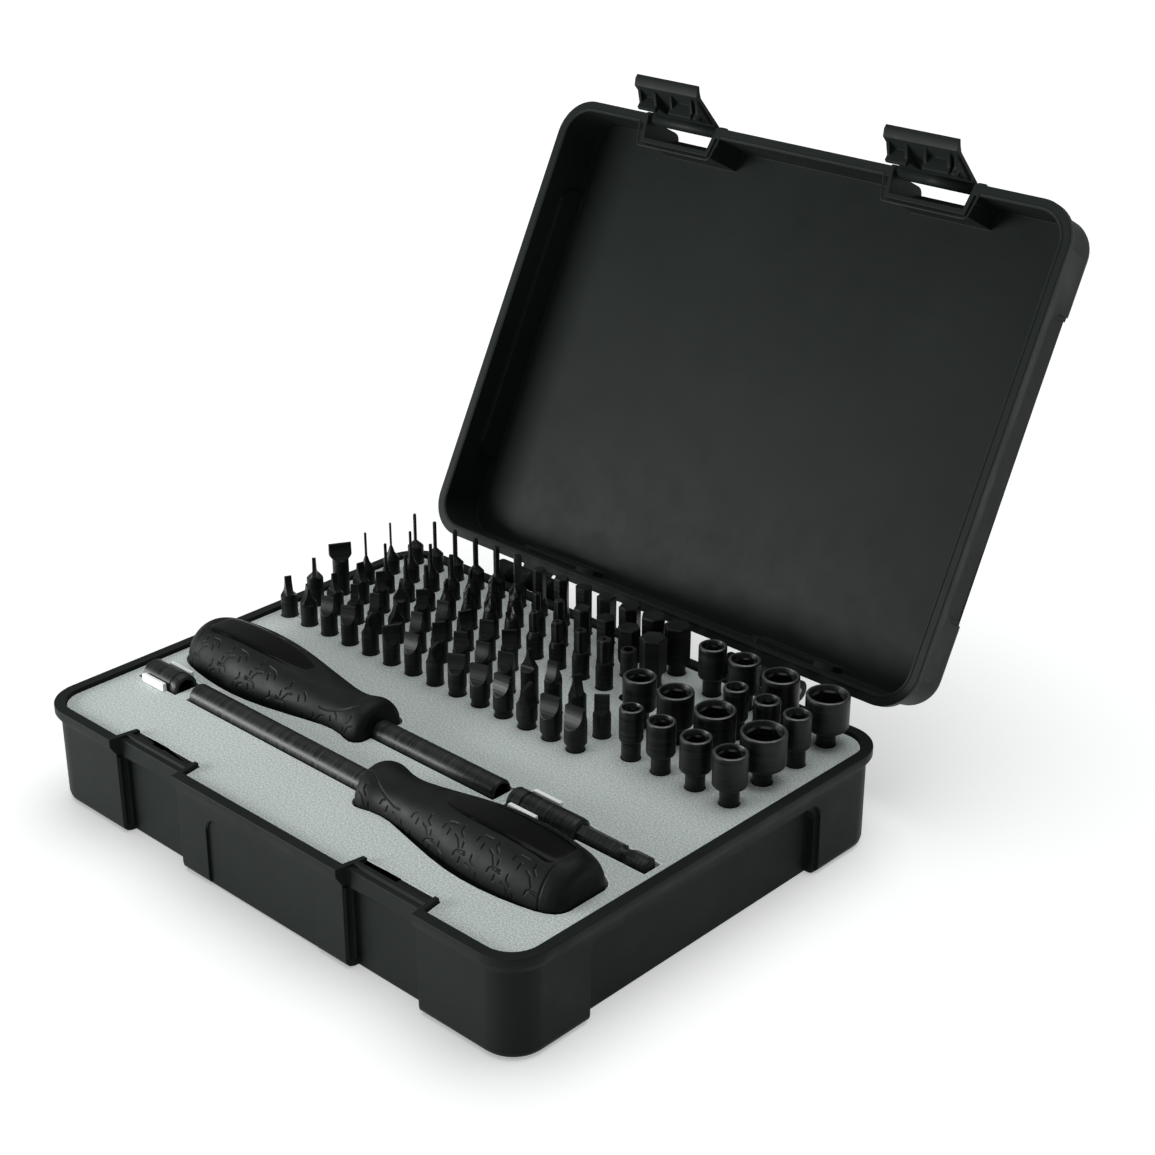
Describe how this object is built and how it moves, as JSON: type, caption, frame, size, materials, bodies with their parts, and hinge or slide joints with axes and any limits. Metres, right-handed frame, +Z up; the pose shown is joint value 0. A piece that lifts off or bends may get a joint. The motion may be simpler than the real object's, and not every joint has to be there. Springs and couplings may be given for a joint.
{
  "type": "driver and socket set in case",
  "caption": "Gunsmith-style screwdriver, bit and nut-socket set laid out in foam in a flat hinged plastic case that stands open.",
  "frame": {"origin": "centre of the underside of the case's base, halfway along the rim's width and depth", "axes": "+X along the latch side to the right as seen from the front, +Y from the latches to the hinges, +Z up"},
  "size_m": [0.26, 0.3192, 0.2445],
  "materials": {
    "case_plastic": "satin moulded plastic",
    "foam": "dense closed-cell foam",
    "pin_steel": "dark zinc",
    "grip_rubber": "moulded grip",
    "inlay_plastic": "gloss",
    "magnet": "nickel",
    "clip_plastic": "satin",
    "black_steel": "black oxide"
  },
  "bodies": {
    "case_base": {"base_shell": "case_plastic", "foam_insert": "foam", "hinge_pin_left": "pin_steel", "hinge_pin_right": "pin_steel", "short_adapter_clip": "clip_plastic", "long_adapter_clip": "clip_plastic", "flat_bits_row_1": "black_steel", "flat_bits_row_2": "black_steel", "flat_bits_row_3": "black_steel", "needle_bits": "black_steel", "cross_bits": "black_steel", "star_bits": "black_steel", "pinned_star_bits": "black_steel", "spanner_bit": "black_steel", "large_hex_bits": "black_steel", "hex_key_bits": "black_steel", "socket_1": "black_steel", "socket_2": "black_steel", "socket_3": "black_steel", "socket_4": "black_steel", "socket_5": "black_steel", "socket_6": "black_steel", "socket_7": "black_steel", "socket_8": "black_steel", "socket_9": "black_steel", "socket_10": "black_steel", "socket_11": "black_steel", "socket_12": "black_steel", "socket_13": "black_steel", "socket_14": "black_steel", "socket_15": "black_steel"},
    "lid": {"lid_shell": "case_plastic", "latch_pin_left": "pin_steel", "latch_pin_right": "pin_steel"},
    "latch_left": {"latch_left": "case_plastic"},
    "latch_right": {"latch_right": "case_plastic"},
    "long_driver": {"long_driver_handle": "grip_rubber", "long_driver_inlay": "inlay_plastic", "long_driver_shaft": "black_steel", "long_driver_magnet": "magnet"},
    "stubby_driver": {"stubby_driver_handle": "grip_rubber", "stubby_driver_inlay": "inlay_plastic", "stubby_driver_shaft": "black_steel", "stubby_driver_magnet": "magnet"},
    "short_adapter": {"short_adapter": "black_steel", "short_adapter_magnet": "magnet"},
    "long_adapter": {"long_adapter": "black_steel", "long_adapter_magnet": "magnet"}
  },
  "joints": [
    {"name": "lid_hinge", "type": "hinge", "parent": "case_base", "child": "lid", "pos_m": [0, 0.1059, 0.0427], "axis": [1, 0, 0], "range_deg": [0, 117.4]},
    {"name": "latch_left_pivot", "type": "hinge", "parent": "lid", "child": "latch_left", "pos_m": [-0.0643, 0.20245, 0.22288], "axis": [1, 0, 0], "range_deg": [-40, 21]},
    {"name": "latch_right_pivot", "type": "hinge", "parent": "lid", "child": "latch_right", "pos_m": [0.0643, 0.20245, 0.22288], "axis": [1, 0, 0], "range_deg": [-40, 21]},
    {"name": "long_driver_lift", "type": "slide", "parent": "case_base", "child": "long_driver", "axis": [0, 0, -1], "range_m": [-0.06, 0]},
    {"name": "stubby_driver_lift", "type": "slide", "parent": "case_base", "child": "stubby_driver", "axis": [0, 0, -1], "range_m": [-0.06, 0]},
    {"name": "short_adapter_lift", "type": "slide", "parent": "case_base", "child": "short_adapter", "axis": [0, 0, -1], "range_m": [-0.06, 0]},
    {"name": "long_adapter_lift", "type": "slide", "parent": "case_base", "child": "long_adapter", "axis": [0, 0, -1], "range_m": [-0.06, 0]}
  ]
}
